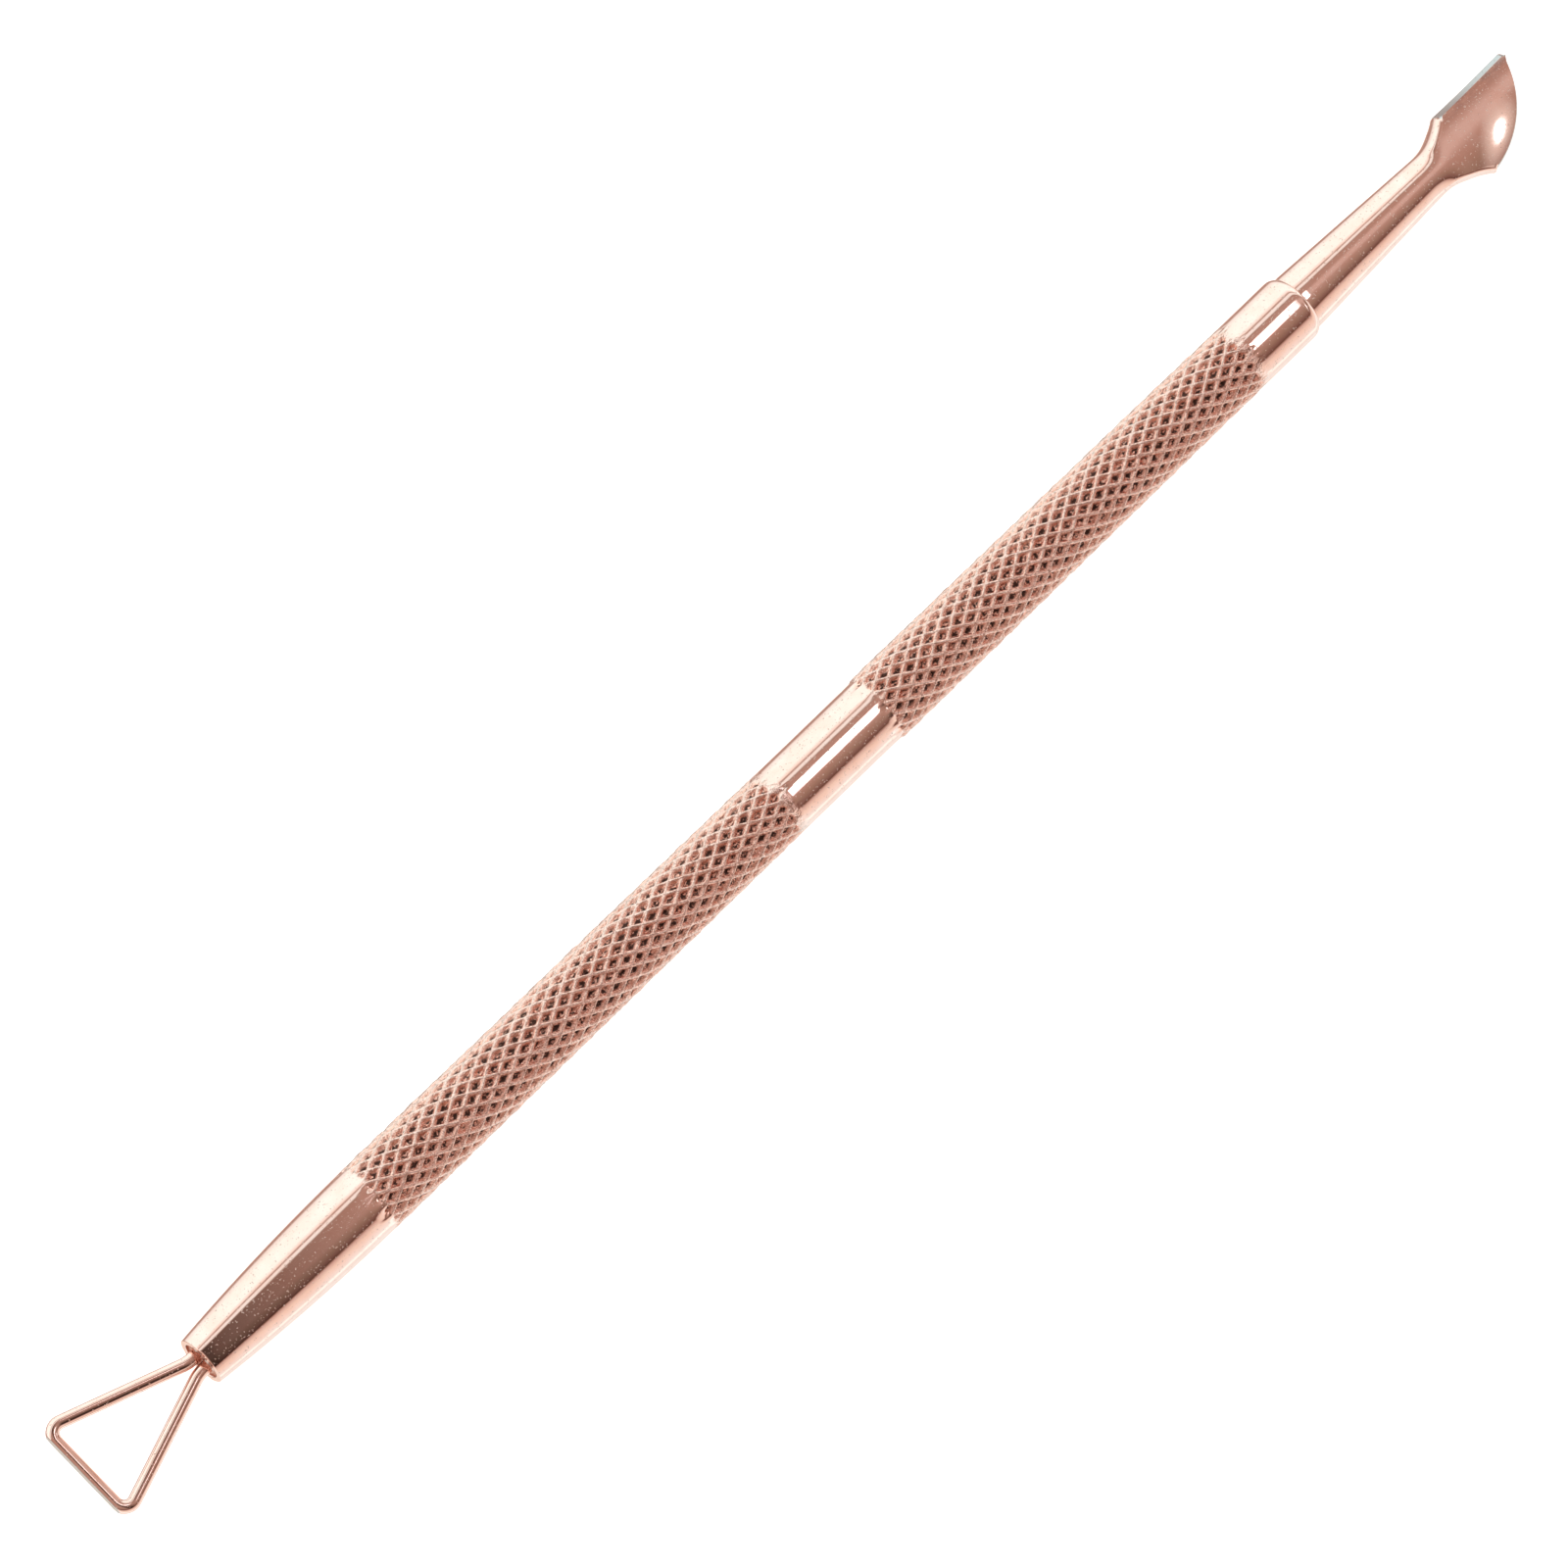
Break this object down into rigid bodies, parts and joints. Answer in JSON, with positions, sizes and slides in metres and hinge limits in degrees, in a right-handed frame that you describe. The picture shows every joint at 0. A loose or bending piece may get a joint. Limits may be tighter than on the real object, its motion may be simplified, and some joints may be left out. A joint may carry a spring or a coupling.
{
  "type": "cuticle pusher",
  "caption": "Double-ended cuticle pusher: knurled tubular handle with a dished scraping blade at one end and a triangular wire loop at the other.",
  "frame": {"origin": "on the handle axis, at the middle of the smooth band between the two knurled grips", "axes": "+X along the handle axis towards the pusher blade; +Z square to the plane of the wire loop, on the side of the blade's convex back"},
  "size_m": [0.136, 0.0078, 0.005],
  "materials": {
    "handle_plating": "polished rose-gold plated stainless steel, with two diamond-knurled grips",
    "tip_plating": "polished rose-gold plated stainless steel, bare steel on the ground edge",
    "wire_plating": "polished rose-gold plated spring wire, bare steel on the ground base",
    "braze": "rough braze metal under rose-gold plating"
  },
  "bodies": {
    "root": {"handle_tube": "handle_plating", "pusher_tip": "tip_plating", "scraper_loop": "wire_plating", "loop_braze": "braze"}
  },
  "joints": []
}
